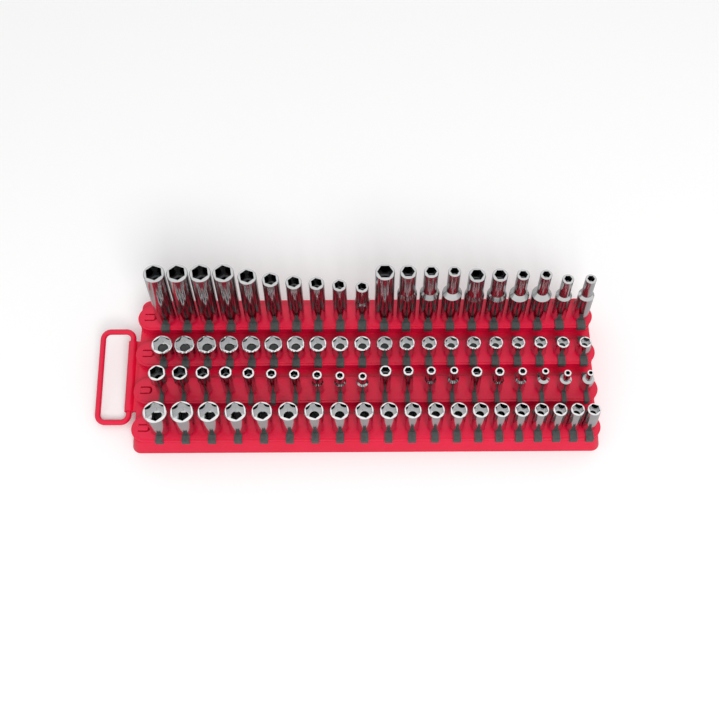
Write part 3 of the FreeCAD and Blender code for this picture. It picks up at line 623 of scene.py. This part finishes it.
def make_sockets(node, body):
    """Sockets in one chrome at several levels: a painted highlight on the lower rows' rims, painted shade on the
    bodies, on the back row's rims and down the holes, and darkest painted shade deep inside the holes.
    """
    highest = in_highest_row(node)
    level_hexagon = "necked" in node or "pair" in node
    shoulder = 1.0 if "pair" in node else SHOULDER_STRETCH
    # Painted highlight on the lower rows' rims; painted shade on the back row's rims and down the holes, darkest
    # deep in the holes of the back and mid-front rows.
    rim_slot = INSIDE if highest else MOUTH
    inner_slot = DEEP_INSIDE if highest or "mid_front" in node else INSIDE
    vertices, faces, slots = [], [], []
    for solid in solids_of(node):
        rings, rim, mouth = socket_rings(solid, level_hexagon, shoulder)
        base = len(vertices)
        for level, ring in enumerate(rings):
            vertices.extend(ring)
            slot = OUTSIDE if level < rim else rim_slot if level < mouth else inner_slot
            slots.extend([slot] * RING_POINTS)
            low = base + level * RING_POINTS
            high = base + (level + 1) % len(rings) * RING_POINTS
            for index in range(RING_POINTS):
                after = (index + 1) % RING_POINTS
                faces.append((low + index, low + after, high + after, high + index))
    mesh = mesh_from(node, vertices, faces)
    tidy_normals(mesh)
    smooth_by_angle(mesh, SOCKET_SMOOTH_DEGREES)
    piece = new_object(f"{node}_plated", mesh)
    finish_piece(piece, body, CHROME_PAINTED_BODY_SHADE, "chrome", node)
    for material in (CHROME_PAINTED_HIGHLIGHT, CHROME_PAINTED_DEEP_SHADE, CHROME_PAINTED_SHADE):
        piece.data.materials.append(material)
    piece.data.polygons.foreach_set("material_index", slots)


# Surroundings

def make_floor():
    side = FLOOR_HALF_SIDE
    corners = [(-side, -side, 0), (side, -side, 0), (side, side, 0), (-side, side, 0)]
    mesh = mesh_from("floor", corners, [(0, 1, 2, 3)])
    floor = new_object("floor", mesh)
    material, tree, shader = new_material("floor")
    shader.inputs["Roughness"].default_value = 0.9
    ray = add_node(tree, "ShaderNodeLightPath")
    seen = add_node(tree, "ShaderNodeMix", data_type="RGBA")
    seen.inputs["A"].default_value = (FLOOR_BOUNCE, FLOOR_BOUNCE, FLOOR_BOUNCE, 1)
    seen.inputs["B"].default_value = (FLOOR_WHITE, FLOOR_WHITE, FLOOR_WHITE, 1)
    tree.links.new(ray.outputs["Is Camera Ray"], seen.inputs["Factor"])
    mirrored = add_node(tree, "ShaderNodeMix", data_type="RGBA")
    mirrored.inputs["B"].default_value = (FLOOR_GLOSS, FLOOR_GLOSS, FLOOR_GLOSS, 1)
    tree.links.new(ray.outputs["Is Glossy Ray"], mirrored.inputs["Factor"])
    tree.links.new(seen.outputs["Result"], mirrored.inputs["A"])
    tree.links.new(mirrored.outputs["Result"], shader.inputs["Base Color"])
    shader.inputs["Emission Color"].default_value = (1, 1, 1, 1)
    lift = add_node(tree, "ShaderNodeMath", operation="MULTIPLY")
    lift.inputs[1].default_value = FLOOR_LIFT
    tree.links.new(ray.outputs["Is Camera Ray"], lift.inputs[0])
    tree.links.new(lift.outputs[0], shader.inputs["Emission Strength"])
    mesh.materials.append(material)


def make_world():
    world = bpy.data.worlds.new("studio")
    bpy.context.scene.world = world
    world.use_nodes = True
    tree = world.node_tree
    ray = add_node(tree, "ShaderNodeLightPath")
    background = tree.nodes["Background"]
    background.inputs["Color"].default_value = (1, 1, 1, 1)
    background.inputs["Strength"].default_value = WORLD_LEVEL
    shown = background.outputs[0]
    for kind, strength in (("Is Glossy Ray", WORLD_GLOSS), ("Is Camera Ray", WORLD_SEEN)):
        other = add_node(tree, "ShaderNodeBackground")
        other.inputs["Color"].default_value = (1, 1, 1, 1)
        other.inputs["Strength"].default_value = strength
        mix = add_node(tree, "ShaderNodeMixShader")
        tree.links.new(ray.outputs[kind], mix.inputs["Fac"])
        tree.links.new(shown, mix.inputs[1])
        tree.links.new(other.outputs[0], mix.inputs[2])
        shown = mix.outputs[0]
    tree.links.new(shown, tree.nodes["World Output"].inputs["Surface"])


def make_lamp():
    lamp = bpy.data.lights.new("key", "AREA")
    lamp.size = KEY_SIDE
    lamp.energy = KEY_POWER
    light = bpy.data.objects.new("key", lamp)
    bpy.context.scene.collection.objects.link(light)
    light.visible_glossy = False
    light.location = KEY_PLACE
    light.rotation_mode = "QUATERNION"
    light.rotation_quaternion = (-Vector(KEY_PLACE)).to_track_quat("-Z", "Y")


def make_camera():
    elevation = math.radians(CAMERA_ELEVATION)
    yaw = math.radians(CAMERA_YAW)
    roll = math.radians(CAMERA_ROLL)
    forward = Vector((math.sin(yaw) * math.cos(elevation), math.cos(yaw) * math.cos(elevation),
                      -math.sin(elevation)))
    level = Vector((math.cos(yaw), -math.sin(yaw), 0))
    upward = level.cross(forward)
    right = level * math.cos(roll) + upward * math.sin(roll)
    up = upward * math.cos(roll) - level * math.sin(roll)
    lens = bpy.data.cameras.new("camera")
    lens.sensor_width = 36
    lens.lens = CAMERA_LENS
    camera = bpy.data.objects.new("camera", lens)
    bpy.context.scene.collection.objects.link(camera)
    turned = Matrix((right, up, -forward)).transposed()
    camera.matrix_world = Matrix.Translation(CAMERA_PLACE) @ turned.to_4x4()
    bpy.context.scene.camera = camera


make_camera()
make_tray()
for tier in TIERS:
    make_rail(tier)
    make_tab(tier)
make_handle()
for body, members in frame["record"]["behaviour"]["bodies"].items():
    for node in members:
        if node.startswith("clip"):
            make_clips(node, body)
        elif node.startswith("socket"):
            make_sockets(node, body)
make_floor()
make_world()
make_lamp()
bpy.context.scene.view_settings.view_transform = "Standard"
